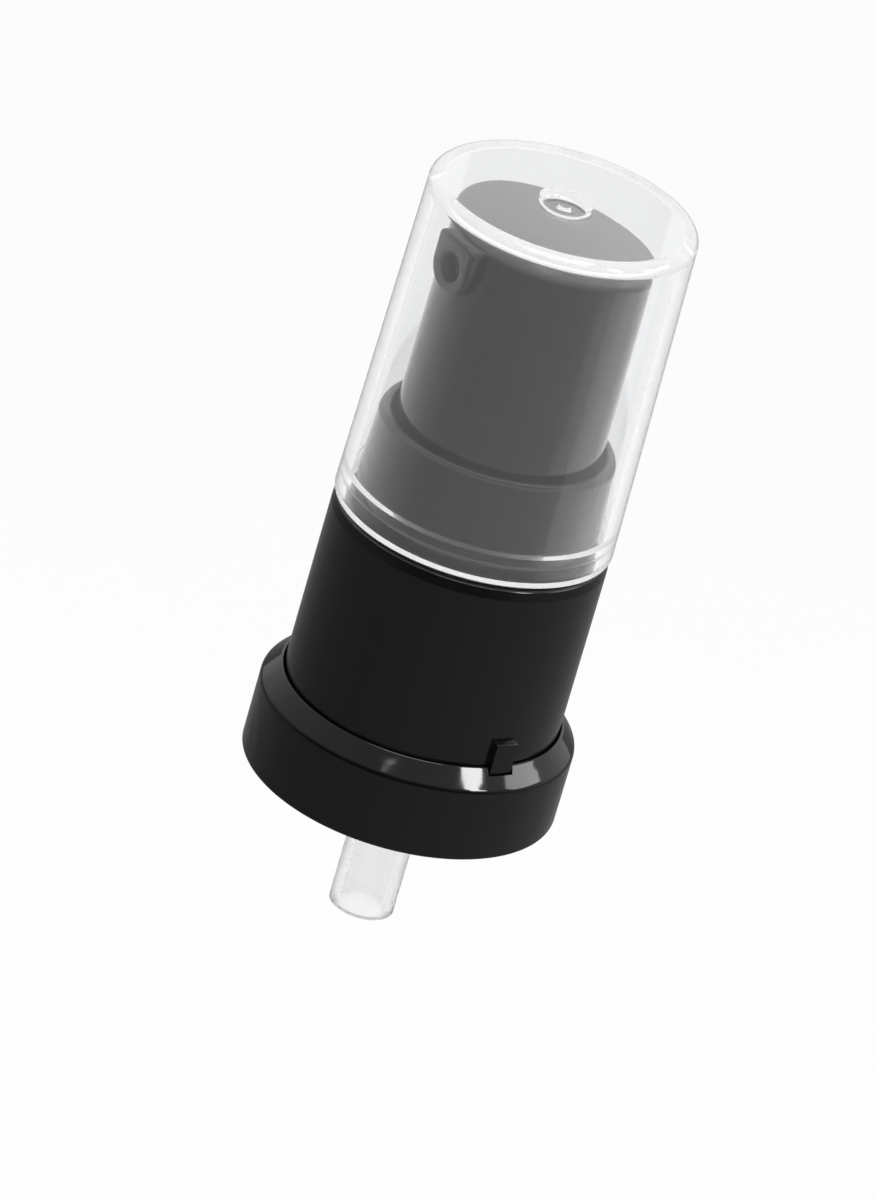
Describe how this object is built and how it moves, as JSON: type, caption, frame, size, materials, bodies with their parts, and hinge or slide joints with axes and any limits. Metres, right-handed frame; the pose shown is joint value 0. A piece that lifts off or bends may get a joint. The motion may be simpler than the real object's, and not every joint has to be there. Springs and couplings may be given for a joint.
{
  "type": "treatment pump",
  "caption": "Screw-on treatment pump with a tall gloss black press head, black collar on a wider base ring, clear overcap and a short natural dip tube.",
  "frame": {"origin": "on the pump's axis, in the plane where the rim of the bottle neck meets the gasket's underside", "axes": "+Z along the pump's axis, up to the overcap; the nozzle points along -Y and the collar's lugs lie along X"},
  "size_m": [0.0278, 0.0278, 0.0689],
  "materials": {
    "clear_plastic": "clear, polished mould, glossy",
    "black_gloss": "black, high gloss",
    "black_satin": "black, satin",
    "natural_plastic": "natural, slightly waxy",
    "soft_plastic": "natural, soft and waxy",
    "white_foam": "white foamed sheet, matt",
    "natural_tube": "natural extruded tube, milky translucent",
    "bright_steel": "bright drawn steel"
  },
  "bodies": {
    "pump": {"housing": "natural_plastic", "chaplet": "natural_plastic", "gasket": "white_foam", "dip_tube": "natural_tube", "return_spring": "bright_steel"},
    "ball": {"inlet_ball": "bright_steel"},
    "press_rod": {"piston_rod": "natural_plastic"},
    "float_piston": {"piston": "soft_plastic"},
    "head": {"actuator": "black_gloss", "nozzle_insert": "black_satin", "stem": "natural_plastic"},
    "closure": {"threaded_closure": "black_satin", "collar_sleeve": "black_gloss", "base_ring": "black_gloss", "guide_ring": "black_gloss"},
    "lid": {"overcap": "clear_plastic"}
  },
  "joints": [
    {"name": "closure_turn", "type": "hinge", "parent": "pump", "child": "closure", "pos_m": [0, 0, 0], "axis": [0, 0, 1], "continuous": true},
    {"name": "overcap_lift", "type": "slide", "parent": "closure", "child": "lid", "axis": [0, 0, 1], "range_m": [0, 0.034]},
    {"name": "press", "type": "slide", "parent": "pump", "child": "press_rod", "axis": [0, 0, 1], "range_m": [-0.0042, 0], "stiffness_N_per_m": 900, "springref_m": 0.005, "deforming": ["return_spring"]},
    {"name": "head_turn", "type": "hinge", "parent": "press_rod", "child": "head", "pos_m": [0, 0, 0], "axis": [0, 0, 1], "continuous": true},
    {"name": "piston_float", "type": "slide", "parent": "press_rod", "child": "float_piston", "axis": [0, 0, 1], "range_m": [0, 0.0008]},
    {"name": "ball_lift", "type": "slide", "parent": "pump", "child": "ball", "axis": [0, 0, 1], "range_m": [0, 0.001]}
  ]
}
